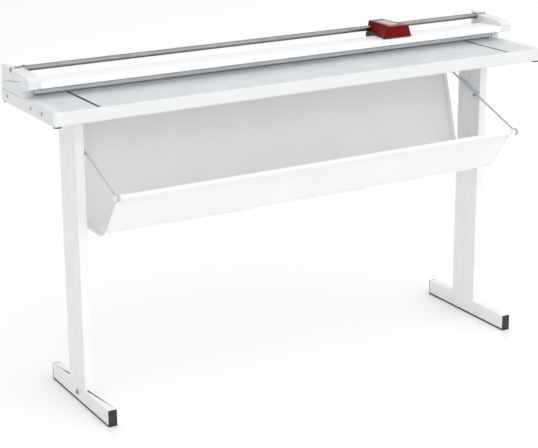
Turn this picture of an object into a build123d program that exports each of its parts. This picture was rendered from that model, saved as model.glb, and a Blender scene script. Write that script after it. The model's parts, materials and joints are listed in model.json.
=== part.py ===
from build123d import *
from math import atan2, cos, degrees, hypot, radians, sin, tan
import os

# Rotary paper trimmer on a stand with a catch basket.
# Frame: X runs along the table, the operator stands at -Y, Z is up.
# The origin is on the floor, under the middle of the whole machine. Millimetres.

# ---------- table ----------
table_length = 1580.0          # over the two end caps
table_depth = 370.0
table_front = -150.0           # Y of the front edge
table_thickness = 38.0
table_top = 875.0              # height of the cutting surface above the floor
table_skin = 4.0               # top, bottom, front and rear walls of the extrusion
table_web = 12.0               # inner webs, wide enough to take the end cap screws
table_nose_radius = 7.0        # rounding of the front lower edge
end_cap_width = 26.0
end_cap_crown = 8.0            # rounding of the cap's outer top edge
end_cap_corner = 9.0           # rounding of the cap's outer corners, seen from above
cap_screw = 5.0
cap_screw_length = 22.0
cap_recess_depth = 4.0
foot_pad_diameter = 22.0
foot_pad_height = 4.0
foot_pad_inset = 14.0          # pad centre from the table's ends and edges

# ---------- cutting line ----------
cut_y = 110.0                  # the plane in which the paper is cut
counter_blade_width = 26.0
counter_blade_thickness = 3.0
counter_screw = 4.0
counter_screw_count = 9
blade_groove_width = 8.0
blade_groove_depth = 7.0
bed_margin = 8.0               # solid metal left round the counter blade and the groove

# ---------- alignment strips ----------
alignment_x = 662.0            # centre of each strip from the middle of the table
alignment_width = 9.0
alignment_depth = 1.5
alignment_front_gap = 6.0      # from the front edge of the table

# ---------- pressure beam and paper clamp ----------
beam_front = 5.0               # Y of the nose
beam_depth = 95.0
beam_top = table_top + 45.0
beam_nose_height = 17.0
beam_step_y = 57.0             # where the top drops to the rear track
beam_step_run = 6.0
beam_step_drop = 3.0
beam_wall = 2.6
clamp_front = 62.0             # Y of the recessed front face of the clamp
clamp_gap = 2.6                # paper gap under the raised clamp
clamp_height = 11.0
clamp_lift = 2.6               # free height between clamp and beam
clamp_travel = 2.2
clamp_screw = 5.0
clamp_screw_head = 9.0
clamp_screw_head_height = 3.0
clamp_spring_wall = 1.2
clamp_screw_count = 5

# ---------- brackets and guide rod ----------
bracket_thickness = 35.0
bracket_plate_overlap = 1.0    # how far the inner plate reaches past the end of the board
bracket_overhang = 2.0         # outside the end cap
bracket_rear_gap = 9.0         # from the rear edge of the table
bracket_top_rear = table_top + 67.0
bracket_top_front = table_top + 59.0
bracket_top_end = 22.0         # Y at which the top starts to fall to the nose
bracket_nose_top = table_top + 50.0
bracket_tower_rear = 16.0      # rear of the inner plate behind the rod's centre
seam_rear = table_top + 19.0   # height of the parting line at the rear
seam_corner = table_top + 42.0 # height of the parting line at its front corner
seam_front_y = 57.0
seam_foot = table_top + 16.0
seam_gap = 1.6
seam_radius = 8.0
rod_diameter = 16.0
rod_y = 132.0
rod_z = table_top + 60.0
rod_seat = 20.0                # depth of the rod in each bracket
rod_screw = 8.0
rod_screw_head = 15.0
rod_screw_head_height = 5.0
rod_screw_depth = 16.0
rod_collar_length = 8.0
rod_collar_wall = 1.8
bracket_screw = 6.0
bracket_screw_head = 9.0

# ---------- cutting head ----------
head_x = 388.0                 # place of the head at rest
head_front = 19.0
head_rear = 150.0
head_bottom = table_top + 46.2
head_top = table_top + 80.0
head_front_top_width = 70.0
head_rear_top_width = 54.0
head_left_flare = 25.0         # how much further out the skirt's front corner is than the top's
head_right_flare = 9.0
head_rear_flare = 6.0          # the same at both rear corners
head_front_lean = 5.0          # the front face leans back by this much
head_skirt_hollow = 6.0        # hollow of the sides at the skirt
head_top_hollow = 2.0          # and at the top
head_corner = 5.0              # rounding of the four upright corners
head_wall = 2.5
head_base_thickness = 2.6
head_reach = 100.0             # more than half the head's length along X
inlay_length = 74.0
inlay_width = 34.0
inlay_thickness = 1.0
bush_wall = 3.0
bush_length = 12.0
carrier_half_length = 23.0
carrier_reach = 15.06          # from the rod's centre to the carrier's top and rear
carrier_front_gap = 7.0        # from the cutting plane to the carrier
blade_diameter = 60.0
blade_thickness = 2.0
blade_dip = 0.8                # how far the edge runs below the table's top
blade_axle = 8.0
blade_cap_thickness = 3.6
blade_cap_diameter = 18.0
guard_half_length = 35.0
guard_wall = 2.2
guard_ground_gap = 4.0
guard_beam_gap = 3.4           # from the beam's rear to the guard's open front
roller_diameter = 12.0
roller_width = 7.0
roller_spread = 30.0           # roller centre from the middle of the head
roller_y = 31.0
roller_axle = 4.0

# ---------- stand ----------
leg_outer_x = 683.0
leg_width = 25.0
leg_depth = 106.0
leg_front = -25.0
leg_wall = 2.0
leg_groove = 3.0
leg_groove_depth = 1.0
leg_plate_thickness = 4.0
leg_plate_reach = 62.0         # top plate, inwards from the leg
leg_bolt = 8.0
leg_bolt_head = 13.0
leg_bolt_head_height = 5.0
leg_bolt_grip = 9.0
foot_height = 42.0
foot_length = 378.0
foot_front = -174.0
foot_wall = 2.0
foot_cap_flange = 3.0
foot_cap_plug = 18.0
floor_strip = 5.0
foot_bolt = 8.0
foot_bolt_head = 14.0
foot_bolt_head_height = 3.5
tongue_depth = 60.0
tongue_wall = 5.0

# ---------- catch basket ----------
basket_half = 645.0            # half width of the fabric
fabric = 1.6
rail_diameter = 14.0
rail_y = 153.0
rail_z = table_top - 49.0
front_rod_y = -210.0
front_rod_z = table_top - 228.0
front_rod_diameter = 10.0
hem_gap = 0.4
hem_wall = 1.6
arm_diameter = 6.0
arm_pivot_y = 150.0
arm_pivot_z = table_top - 85.0
arm_plate = 3.0
arm_gap = 0.5
arm_pin = 6.0
arm_eye = 7.0                  # from the centre of an eye to the start of the wire
arm_eye_width = 5.0
rest_stud = 8.0
rest_stud_y = -8.0
knob_diameter = 16.0
knob_length = 9.0

# ---------- clearances ----------
slip = 0.05                    # radial, on fixed pins and screws
running = 0.06                 # radial, on bushes and turning axles
clear = 0.4                    # between pieces that pass each other
inlay_gap = 0.1                # round strips and panels let into a surface

# ---------- derived places ----------
table_rear = table_front + table_depth
table_bottom = table_top - table_thickness
table_half = table_length / 2
board_half = table_half - end_cap_width
bracket_outer = table_half + bracket_overhang
bracket_inner = bracket_outer - bracket_thickness
bracket_plate = board_half + bracket_plate_overlap - bracket_inner
bracket_rear = table_rear - bracket_rear_gap
bed_front = cut_y - counter_blade_width - bed_margin
bed_rear = cut_y + blade_groove_width + bed_margin
beam_rear = beam_front + beam_depth
clamp_rear = beam_rear
clamp_bottom = table_top + clamp_gap
clamp_top = clamp_bottom + clamp_height
beam_bottom = clamp_top + clamp_lift
beam_nose_bottom = beam_top - beam_nose_height
beam_rear_top = beam_top - beam_step_drop
clamp_half = bracket_inner - 2.0
blade_radius = blade_diameter / 2
blade_axis_z = table_top - blade_dip + blade_radius
blade_front = cut_y + running
carrier_front = cut_y + carrier_front_gap
bush_outer = rod_diameter / 2 + running + bush_wall
carrier_rear = rod_y + carrier_reach
carrier_top = rod_z + carrier_reach
roller_axis_z = beam_top + running + roller_diameter / 2
leg_inner_x = leg_outer_x - leg_width
leg_middle_y = leg_front + leg_depth / 2
foot_bottom = floor_strip
foot_top = foot_bottom + foot_height
foot_rear = foot_front + foot_length
arm_x = leg_inner_x - arm_gap - arm_plate - arm_gap - arm_diameter / 2
web_ys = (
    table_front + table_skin + (bed_front - table_front) / 3,
    table_front + table_skin + 2 * (bed_front - table_front) / 3,
    (bed_rear + table_rear - table_skin) / 2,
)
SIDES = (("left", -1), ("right", 1))

os.makedirs("parts", exist_ok=True)


def save(builder, name):
    """Label a finished piece and write its STEP file."""
    builder.part.label = name
    export_step(builder.part, f"parts/{name}.step")


def profile_plane(x):
    """Plane for a side-view outline: its axes are Y and Z, and it extrudes towards +X."""
    return Plane.YZ.offset(x)


def low_end(side, inner, outer):
    """The smaller X of a piece that lies between two distances from the middle."""
    return inner if side > 0 else -outer


def rod_plane(side, x):
    """Plane across the X axis at a distance from the middle, facing outwards."""
    return Plane(origin=(side * x, 0, 0), x_dir=(0, 1, 0), z_dir=(side, 0, 0))


def outline(points):
    """A closed face from corner points of the current sketch plane."""
    return Polygon(*points, align=None)


# ================= table =================
def build_table():
    with BuildPart() as table_board:
        with BuildSketch(profile_plane(-board_half)) as section:
            with Locations(((table_front + table_rear) / 2, (table_top + table_bottom) / 2)):
                Rectangle(table_depth, table_thickness)
            front = section.vertices().group_by(Axis.X)[0]
            fillet(front.sort_by(Axis.Y)[0], table_nose_radius)
            fillet(section.vertices().group_by(Axis.Y)[-1].sort_by(Axis.X)[0], table_skin / 2)
            edges = [table_front + table_skin * 2]
            for web in web_ys[:2]:
                edges += [web - table_web / 2, web + table_web / 2]
            edges += [bed_front, bed_rear, web_ys[2] - table_web / 2, web_ys[2] + table_web / 2]
            edges += [table_rear - table_skin]
            for start, end in zip(edges[::2], edges[1::2]):
                with Locations(((start + end) / 2, (table_top + table_bottom) / 2)):
                    Rectangle(end - start, table_thickness - 2 * table_skin, mode=Mode.SUBTRACT)
        extrude(amount=2 * board_half)
        # rebate of the counter blade, and the groove that the cutting edge runs in
        with BuildSketch(profile_plane(-board_half)):
            with Locations((cut_y - counter_blade_width / 2, table_top - counter_blade_thickness / 2)):
                Rectangle(counter_blade_width, counter_blade_thickness)
            with Locations((cut_y + blade_groove_width / 2, table_top - blade_groove_depth / 2)):
                Rectangle(blade_groove_width, blade_groove_depth)
        extrude(amount=2 * board_half, mode=Mode.SUBTRACT)
        # grooves of the two alignment strips
        strip_front = table_front + alignment_front_gap
        strip_length = clamp_front - strip_front
        with BuildSketch(Plane.XY.offset(table_top)):
            with Locations((-alignment_x, strip_front + strip_length / 2),
                           (alignment_x, strip_front + strip_length / 2)):
                Rectangle(alignment_width, strip_length)
        extrude(amount=-alignment_depth, mode=Mode.SUBTRACT)
        # tapped holes for the counter blade
        screw_pitch = 2 * (bracket_inner - 30) / (counter_screw_count - 1)
        with BuildSketch(Plane.XY.offset(table_top - counter_blade_thickness)):
            with Locations((0, cut_y - counter_blade_width / 2)):
                with GridLocations(screw_pitch, 1, counter_screw_count, 1):
                    Circle(counter_screw / 2 + slip)
        extrude(amount=-8, mode=Mode.SUBTRACT)
        # tapped holes for the end caps
        for side in (-1, 1):
            with BuildSketch(rod_plane(side, board_half)):
                with Locations(*cap_screw_places(side)):
                    Circle(cap_screw / 2 + slip)
            extrude(amount=-cap_screw_length, mode=Mode.SUBTRACT)
        # tapped holes in the underside for the leg bolts
        with BuildSketch(Plane.XY.offset(table_bottom)):
            with Locations(*leg_bolt_places()):
                Circle(leg_bolt / 2 + slip)
        extrude(amount=table_skin, mode=Mode.SUBTRACT)
    save(table_board, "table_board")

    for name, side in SIDES:
        with BuildPart() as strip:
            with BuildSketch(Plane.XY.offset(table_top - alignment_depth)):
                with Locations((side * alignment_x, strip_front + strip_length / 2)):
                    Rectangle(alignment_width - 2 * inlay_gap, strip_length - 2 * inlay_gap)
            extrude(amount=alignment_depth)
        save(strip, f"{name}_alignment_strip")

    with BuildPart() as counter_blade:
        with BuildSketch(profile_plane(-bracket_inner)):
            with Locations((cut_y - counter_blade_width / 2, table_top - counter_blade_thickness / 2)):
                Rectangle(counter_blade_width, counter_blade_thickness)
        extrude(amount=2 * bracket_inner)
        with Locations((0, cut_y - counter_blade_width / 2, table_top)):
            with GridLocations(screw_pitch, 1, counter_screw_count, 1):
                CounterSinkHole(counter_screw / 2 + slip, counter_screw, counter_blade_thickness)
    save(counter_blade, "counter_blade")

    with BuildPart() as counter_screws:
        with BuildSketch(Plane.XY.offset(table_top - counter_blade_thickness - 7)):
            with Locations((0, cut_y - counter_blade_width / 2)):
                with GridLocations(screw_pitch, 1, counter_screw_count, 1):
                    Circle(counter_screw / 2)
        extrude(amount=counter_blade_thickness + 7 - 0.3)
        with Locations((0, cut_y - counter_blade_width / 2, table_top - 1.15)):
            with GridLocations(screw_pitch, 1, counter_screw_count, 1):
                Cone(counter_screw / 2, counter_screw - 0.4, 1.7)
    save(counter_screws, "counter_blade_screws")

    with BuildPart() as pads:
        pad_x = table_half - foot_pad_inset
        with BuildSketch(Plane.XY.offset(table_bottom)):
            with Locations((0, (table_front + table_rear) / 2)):
                with GridLocations(2 * pad_x, table_depth - 2 * foot_pad_inset, 2, 2):
                    Circle(foot_pad_diameter / 2)
        extrude(amount=-foot_pad_height, taper=12)
    save(pads, "table_rubber_feet")


def leg_bolt_places():
    """Centres of the bolts that hold the stand to the table, seen from above."""
    reach = leg_inner_x - leg_plate_reach * 0.6
    return [(side * reach, leg_middle_y + step * leg_depth * 0.32)
            for side in (-1, 1) for step in (-1, 1)]


def build_end_caps():
    for name, side in SIDES:
        with BuildPart() as end_cap:
            x0 = low_end(side, board_half, table_half)
            with BuildSketch(Plane.XY.offset(table_bottom)) as plan:
                with Locations((x0 + end_cap_width / 2, (table_front + table_rear) / 2)):
                    Rectangle(end_cap_width, table_depth)
                fillet([v for v in plan.vertices() if abs(v.X) > table_half - 1], end_cap_corner)
            extrude(amount=table_thickness)
            rim = end_cap.edges().filter_by(lambda e: abs(e.center().X) > board_half + 2)
            fillet(rim.group_by(Axis.Z)[0], 3)
            fillet(rim.group_by(Axis.Z)[-1], end_cap_crown)
            # shoulder under the bracket, with its top along the parting line
            plate_outer = bracket_inner + bracket_plate + clear
            shoulder_x = low_end(side, plate_outer, table_half)
            with BuildSketch(profile_plane(shoulder_x)) as shoulder:
                outline([
                    (seam_front_y + seam_gap, table_top - 1),
                    (seam_front_y + seam_gap, seam_corner - seam_gap),
                    (bracket_rear - 2, seam_rear - seam_gap),
                    (bracket_rear - 2, table_top - 1),
                ])
                corner = shoulder.vertices().sort_by(Axis.Y)[-1]
                fillet(corner, seam_radius - seam_gap)
            extrude(amount=table_half - plate_outer)
            # recesses for the screws
            with BuildSketch(rod_plane(side, table_half)):
                with Locations(*cap_screw_places(side)):
                    Circle(cap_screw + 1)
            extrude(amount=-cap_recess_depth, mode=Mode.SUBTRACT)
            with BuildSketch(rod_plane(side, table_half)):
                with Locations(*cap_screw_places(side)):
                    Circle(cap_screw / 2 + slip)
            extrude(amount=-end_cap_width, mode=Mode.SUBTRACT)
            # thread of the screw that ties the shoulder to the bracket
            with BuildSketch(rod_plane(side, bracket_inner)):
                with Locations(bracket_screw_place(side)):
                    Circle(bracket_screw / 2 + slip)
            extrude(amount=bracket_plate + 18, mode=Mode.SUBTRACT)
        save(end_cap, f"{name}_end_cap")

        with BuildPart() as screws:
            with BuildSketch(rod_plane(side, table_half - cap_recess_depth)):
                with Locations(*cap_screw_places(side)):
                    Circle(cap_screw - 0.4)
            extrude(amount=2.6)
            with BuildSketch(rod_plane(side, table_half - cap_recess_depth)):
                with Locations(*cap_screw_places(side)):
                    Circle(cap_screw / 2)
            extrude(amount=-(end_cap_width - cap_recess_depth + cap_screw_length - 2))
            with BuildSketch(rod_plane(side, table_half - cap_recess_depth + 2.6)):
                with Locations(*cap_screw_places(side)):
                    RegularPolygon(1.7, 6)
            extrude(amount=-1.6, mode=Mode.SUBTRACT)
        save(screws, f"{name}_end_cap_screws")


def facing(side, y, z):
    """A point of the outward-facing plane of one side, from its real Y and Z."""
    return (y, z * side)


def cap_screw_places(side):
    """Screw centres of an end cap on the outward-facing plane."""
    return [facing(side, y, table_bottom + table_thickness / 2) for y in web_ys]


def bracket_screw_place(side):
    """Centre of the screw through the bracket's inner plate."""
    return facing(side, rod_y - 20, beam_top - beam_nose_height + 1)


# ================= beam and clamp =================
def build_beam():
    beam_points = [
        (beam_front, beam_nose_bottom),
        (beam_front, beam_top),
        (beam_step_y - beam_step_run, beam_top),
        (beam_step_y, beam_rear_top),
        (beam_rear, beam_rear_top),
        (beam_rear, beam_bottom),
        (clamp_front, beam_bottom),
        (clamp_front, beam_nose_bottom),
    ]
    with BuildPart() as beam:
        with BuildSketch(profile_plane(-bracket_inner)) as section:
            outline(beam_points)
            fillet(section.vertices().group_by(Axis.X)[0], 3)
        extrude(amount=2 * bracket_inner)
        nose_front = beam_front + beam_wall
        with BuildSketch(profile_plane(-bracket_inner)):
            with Locations(((nose_front + beam_step_y - beam_step_run) / 2,
                            (beam_top + beam_nose_bottom) / 2)):
                Rectangle(beam_step_y - beam_step_run - nose_front, beam_nose_height - 2 * beam_wall)
        extrude(amount=2 * bracket_inner, mode=Mode.SUBTRACT)
        with BuildSketch(profile_plane(-bracket_inner)):
            with Locations(((clamp_front + beam_rear) / 2, (beam_rear_top + beam_bottom) / 2)):
                Rectangle(beam_rear - clamp_front - 2 * beam_wall,
                          beam_rear_top - beam_bottom - 2 * beam_wall)
        extrude(amount=2 * bracket_inner, mode=Mode.SUBTRACT)
        with BuildSketch(Plane.XY.offset(beam_bottom)):
            with Locations(*clamp_screw_places()):
                Circle(clamp_screw / 2 + clear)
        extrude(amount=beam_wall, mode=Mode.SUBTRACT)
    save(beam, "pressure_beam")

    with BuildPart() as clamp:
        with BuildSketch(profile_plane(-clamp_half)) as section:
            with Locations(((clamp_front + clamp_rear) / 2, (clamp_bottom + clamp_top) / 2)):
                Rectangle(clamp_rear - clamp_front, clamp_height)
            chamfer(section.vertices().group_by(Axis.Y)[0], 1.5)
        extrude(amount=2 * clamp_half)
        with BuildSketch(Plane.XY.offset(clamp_top)):
            with Locations(*clamp_screw_places()):
                Circle(clamp_screw / 2 + slip)
        extrude(amount=-clamp_height + 3, mode=Mode.SUBTRACT)
    save(clamp, "clamp_strip")

    head_underside = beam_bottom + beam_wall + clamp_travel + 6
    with BuildPart() as clamp_screws:
        with BuildSketch(Plane.XY.offset(clamp_bottom + 3.5)):
            with Locations(*clamp_screw_places()):
                Circle(clamp_screw / 2)
        extrude(amount=head_underside - clamp_bottom - 3.5)
        with BuildSketch(Plane.XY.offset(head_underside)):
            with Locations(*clamp_screw_places()):
                Circle(clamp_screw_head / 2)
        extrude(amount=clamp_screw_head_height)
    save(clamp_screws, "clamp_shoulder_screws")

    with BuildPart() as springs:
        with BuildSketch(Plane.XY.offset(head_underside)):
            with Locations(*clamp_screw_places()):
                Circle(clamp_screw / 2 + slip + clamp_spring_wall)
                Circle(clamp_screw / 2 + slip, mode=Mode.SUBTRACT)
        extrude(amount=-5.6)
    save(springs, "clamp_lift_springs")


def clamp_screw_places():
    """Centres of the shoulder screws that hang the clamp under the beam."""
    pitch = 2 * (clamp_half - 60) / (clamp_screw_count - 1)
    middle = (clamp_front + clamp_rear) / 2
    return [(-clamp_half + 60 + pitch * i, middle) for i in range(clamp_screw_count)]


# ================= brackets and rod =================
def build_brackets():
    plate_outer = bracket_inner + bracket_plate
    for name, side in SIDES:
        with BuildPart() as bracket:
            block_x = low_end(side, plate_outer, bracket_outer)
            with BuildSketch(profile_plane(block_x)) as block:
                outline([
                    (bracket_rear, seam_rear),
                    (bracket_rear, bracket_top_rear),
                    (bracket_top_end, bracket_top_front),
                    (beam_front, bracket_nose_top),
                    (beam_front, beam_nose_bottom),
                    (seam_front_y, seam_foot),
                    (seam_front_y, seam_corner),
                ])
                fillet(block.vertices().sort_by(Axis.Y)[-1], 8)
                fillet(block.vertices().group_by(Axis.X)[0], 4)
                fillet([v for v in block.vertices() if abs(v.Y - seam_corner) < 0.5], seam_radius)
            extrude(amount=bracket_outer - plate_outer)
            plate_x = low_end(side, bracket_inner, plate_outer)
            tower_rear = rod_y + bracket_tower_rear
            with BuildSketch(profile_plane(plate_x)) as plate:
                outline([
                    (tower_rear, table_top),
                    (tower_rear, bracket_top_rear - 2),
                    (bracket_top_end, bracket_top_front),
                    (beam_front, bracket_nose_top),
                    (beam_front, beam_nose_bottom),
                    (clamp_front, beam_nose_bottom),
                    (clamp_front, table_top),
                ])
                fillet(plate.vertices().group_by(Axis.X)[0], 4)
            extrude(amount=bracket_plate)
            # the rear is cut slantwise, seen from above
            with BuildSketch(Plane.XY.offset(table_top)):
                outline([
                    (side * (bracket_inner - 1), tower_rear),
                    (side * (bracket_inner + bracket_plate), tower_rear),
                    (side * bracket_outer, bracket_rear - 12),
                    (side * (bracket_outer + 1), bracket_rear + 10),
                    (side * (bracket_inner - 1), bracket_rear + 10),
                ])
            extrude(amount=120, mode=Mode.SUBTRACT)
            # seat of the rod, recess and hole of its end screw
            with BuildSketch(rod_plane(side, bracket_inner)):
                with Locations(facing(side, rod_y, rod_z)):
                    Circle(rod_diameter / 2 + slip)
            extrude(amount=rod_seat, mode=Mode.SUBTRACT)
            with BuildSketch(rod_plane(side, bracket_inner)):
                with Locations(facing(side, rod_y, rod_z)):
                    Circle(rod_screw / 2 + slip)
            extrude(amount=bracket_thickness, mode=Mode.SUBTRACT)
            with BuildSketch(rod_plane(side, bracket_outer)):
                with Locations(facing(side, rod_y, rod_z)):
                    Circle(rod_screw_head / 2 + 1)
            extrude(amount=-rod_screw_head_height, mode=Mode.SUBTRACT)
            # hole of the screw into the shoulder
            with BuildSketch(rod_plane(side, bracket_inner)):
                with Locations(bracket_screw_place(side)):
                    Circle(bracket_screw / 2 + slip)
            extrude(amount=bracket_plate, mode=Mode.SUBTRACT)
        save(bracket, f"{name}_bracket")

        with BuildPart() as collar:
            with BuildSketch(rod_plane(side, bracket_inner)):
                with Locations(facing(side, rod_y, rod_z)):
                    Circle(rod_diameter / 2 + slip + rod_collar_wall)
                    Circle(rod_diameter / 2 + slip, mode=Mode.SUBTRACT)
            extrude(amount=-rod_collar_length)
        save(collar, f"{name}_rod_collar")

    with BuildPart() as rod:
        half = bracket_inner + rod_seat
        with BuildSketch(profile_plane(-half)):
            with Locations((rod_y, rod_z)):
                Circle(rod_diameter / 2)
        extrude(amount=2 * half)
        for side in (-1, 1):
            with BuildSketch(rod_plane(side, half)):
                with Locations(facing(side, rod_y, rod_z)):
                    Circle(rod_screw / 2 + slip)
            extrude(amount=-rod_screw_depth, mode=Mode.SUBTRACT)
    save(rod, "guide_rod")

    with BuildPart() as rod_screws:
        for side in (-1, 1):
            seat = bracket_outer - rod_screw_head_height
            with BuildSketch(rod_plane(side, seat)):
                with Locations(facing(side, rod_y, rod_z)):
                    Circle(rod_screw_head / 2)
            extrude(amount=rod_screw_head_height - 0.8)
            with BuildSketch(rod_plane(side, seat)):
                with Locations(facing(side, rod_y, rod_z)):
                    Circle(rod_screw / 2)
            extrude(amount=-(seat - bracket_inner - rod_seat + rod_screw_depth - 1))
            with BuildSketch(rod_plane(side, bracket_outer - 0.8)):
                with Locations(facing(side, rod_y, rod_z)):
                    RegularPolygon(3, 6)
            extrude(amount=-3, mode=Mode.SUBTRACT)
    save(rod_screws, "rod_end_screws")

    with BuildPart() as bracket_screws:
        for side in (-1, 1):
            with BuildSketch(rod_plane(side, bracket_inner)):
                with Locations(bracket_screw_place(side)):
                    Circle(bracket_screw_head / 2)
            extrude(amount=-2.2)
            with BuildSketch(rod_plane(side, bracket_inner)):
                with Locations(bracket_screw_place(side)):
                    Circle(bracket_screw / 2)
            extrude(amount=bracket_plate + 16)
            with BuildSketch(rod_plane(side, bracket_inner - 2.2)):
                with Locations(bracket_screw_place(side)):
                    RegularPolygon(1.8, 6)
            extrude(amount=1.5, mode=Mode.SUBTRACT)
    save(bracket_screws, "bracket_screws")


# ================= cutting head =================
def head_face(height, grow, lean):
    """Outline of the head at a height, in from the surface by -grow; the sides are hollow arcs."""
    share = (height - head_bottom) / (head_top - head_bottom)
    front_left_x = -head_front_top_width / 2 - (1 - share) * head_left_flare - grow
    front_right_x = head_front_top_width / 2 + (1 - share) * head_right_flare + grow
    rear_half = head_rear_top_width / 2 + (1 - share) * head_rear_flare + grow
    hollow = head_skirt_hollow + share * (head_top_hollow - head_skirt_hollow)
    front = head_front + share * lean - grow
    rear = head_rear + grow
    middle = (front + rear) / 2

    front_left, front_right, waist_right, rear_right, rear_left, waist_left = (
        Vector(head_x + x, y, height) for x, y in (
            (front_left_x, front), (front_right_x, front),
            ((front_right_x + rear_half) / 2 - hollow, middle),
            (rear_half, rear), (-rear_half, rear),
            ((front_left_x - rear_half) / 2 + hollow, middle))
    )
    return Face(Wire([
        Edge.make_line(front_left, front_right),
        Edge.make_three_point_arc(front_right, waist_right, rear_right),
        Edge.make_line(rear_right, rear_left),
        Edge.make_three_point_arc(rear_left, waist_left, front_left),
    ]))


def upright_edges(builder, low, high):
    """Edges of a builder's solid that run all the way from one height to another."""
    return [e for e in builder.edges()
            if abs(e.bounding_box().min.Z - low) < 0.01 and abs(e.bounding_box().max.Z - high) < 0.01]


def build_head():
    casing_bottom = head_bottom + head_base_thickness
    with BuildPart() as casing:
        loft([head_face(height, 0, head_front_lean) for height in (casing_bottom, head_top)])
        fillet(upright_edges(casing, casing_bottom, head_top), head_corner)
        fillet(casing.edges().group_by(Axis.Z)[-1], 3)
        ceiling = head_top - head_wall
        loft([head_face(height, -head_wall, head_front_lean) for height in (casing_bottom, ceiling)],
             mode=Mode.SUBTRACT)
        with BuildSketch(profile_plane(head_x - head_reach)):
            with Locations((rod_y, rod_z)):
                Circle(rod_diameter / 2 + clear + 0.6)
        extrude(amount=2 * head_reach, mode=Mode.SUBTRACT)
        with BuildSketch(Plane.XY.offset(head_top)):
            with Locations((head_x, inlay_middle())):
                RectangleRounded(inlay_width + 2 * inlay_gap, inlay_length + 2 * inlay_gap, 4)
        extrude(amount=-inlay_thickness, mode=Mode.SUBTRACT)
    save(casing, "head_casing")

    with BuildPart() as inlay:
        with BuildSketch(Plane.XY.offset(head_top - inlay_thickness)):
            with Locations((head_x, inlay_middle())):
                RectangleRounded(inlay_width, inlay_length, 4)
        extrude(amount=inlay_thickness)
    save(inlay, "head_inlay")

    guard_front = cut_y - blade_cap_thickness - 1.0
    with BuildPart() as base:
        extrude(head_face(head_bottom, 0, 0), amount=head_base_thickness)
        fillet(upright_edges(base, head_bottom, casing_bottom), head_corner)
        # opening over the blade and its carrier
        with BuildSketch(Plane.XY.offset(head_bottom)):
            with Locations((head_x, (guard_front + carrier_rear + clear) / 2)):
                Rectangle(2 * (blade_radius + clear), carrier_rear + clear - guard_front)
        extrude(amount=head_base_thickness, mode=Mode.SUBTRACT)
        # windows of the two rollers
        with BuildSketch(Plane.XY.offset(head_bottom)):
            with Locations((head_x - roller_spread, roller_y), (head_x + roller_spread, roller_y)):
                Rectangle(roller_diameter + 2, roller_width + 2)
        extrude(amount=head_base_thickness, mode=Mode.SUBTRACT)
        # cheeks that carry the roller axles
        cheek_depth = 3.0
        cheek_y = roller_width / 2 + 1 + cheek_depth / 2
        with BuildSketch(Plane.XY.offset(head_bottom + head_base_thickness)):
            for dx in (-roller_spread, roller_spread):
                with Locations((head_x + dx, roller_y - cheek_y), (head_x + dx, roller_y + cheek_y)):
                    Rectangle(roller_diameter, cheek_depth)
        extrude(amount=roller_axis_z + 4 - head_bottom - head_base_thickness)
        with BuildSketch(Plane.XZ.offset(-(roller_y + cheek_y + cheek_depth))):
            with Locations((head_x - roller_spread, roller_axis_z),
                           (head_x + roller_spread, roller_axis_z)):
                Circle(roller_axle / 2 + slip)
        extrude(amount=2 * (cheek_y + cheek_depth), mode=Mode.SUBTRACT)
    save(base, "head_base")

    # guard behind the beam: three walls and a rear wall round the blade
    guard_bottom = table_top + guard_ground_gap
    guard_rear = head_rear
    with BuildPart() as guard:
        with BuildSketch(Plane.XY.offset(guard_bottom)):
            with Locations((head_x, (beam_rear + guard_beam_gap + guard_rear) / 2)):
                Rectangle(2 * guard_half_length, guard_rear - beam_rear - guard_beam_gap)
            with Locations((head_x, (beam_rear + guard_rear - guard_wall) / 2)):
                Rectangle(2 * (guard_half_length - guard_wall), guard_rear - guard_wall - beam_rear,
                          mode=Mode.SUBTRACT)
        extrude(amount=head_bottom - guard_bottom)
    save(guard, "blade_guard")

    with BuildPart() as carrier:
        with BuildSketch(profile_plane(head_x - carrier_half_length)):
            with Locations(((carrier_front + carrier_rear) / 2, (blade_axis_z - 10 + carrier_top) / 2)):
                Rectangle(carrier_rear - carrier_front, carrier_top - blade_axis_z + 10)
        extrude(amount=2 * carrier_half_length)
        with BuildSketch(profile_plane(head_x - carrier_half_length)):
            with Locations((rod_y, rod_z)):
                Circle(rod_diameter / 2 + 1)
        extrude(amount=2 * carrier_half_length, mode=Mode.SUBTRACT)
        for start in (-carrier_half_length, carrier_half_length - bush_length):
            with BuildSketch(profile_plane(head_x + start)):
                with Locations((rod_y, rod_z)):
                    Circle(bush_outer + slip)
            extrude(amount=bush_length, mode=Mode.SUBTRACT)
        with BuildSketch(Plane.XZ.offset(-carrier_front)):
            with Locations((head_x, blade_axis_z)):
                Circle(blade_axle / 2 + running)
        extrude(amount=-(carrier_rear - carrier_front), mode=Mode.SUBTRACT)
    save(carrier, "blade_carrier")

    with BuildPart() as bushes:
        for start in (-carrier_half_length, carrier_half_length - bush_length):
            with BuildSketch(profile_plane(head_x + start)):
                with Locations((rod_y, rod_z)):
                    Circle(bush_outer)
                    Circle(rod_diameter / 2 + running, mode=Mode.SUBTRACT)
            extrude(amount=bush_length)
    save(bushes, "rod_bushes")

    with BuildPart() as blade:
        with BuildSketch(Plane.XZ.offset(-blade_front)):
            with Locations((head_x, blade_axis_z)):
                Circle(blade_radius)
                Circle(blade_axle / 2 + slip, mode=Mode.SUBTRACT)
        extrude(amount=-blade_thickness)
        chamfer(blade.edges().filter_by(GeomType.CIRCLE).group_by(Axis.Y)[-1].sort_by(SortBy.LENGTH)[-1],
                length=blade_thickness * 0.85, length2=blade_thickness * 2.2)
    save(blade, "rotary_blade")

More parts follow.
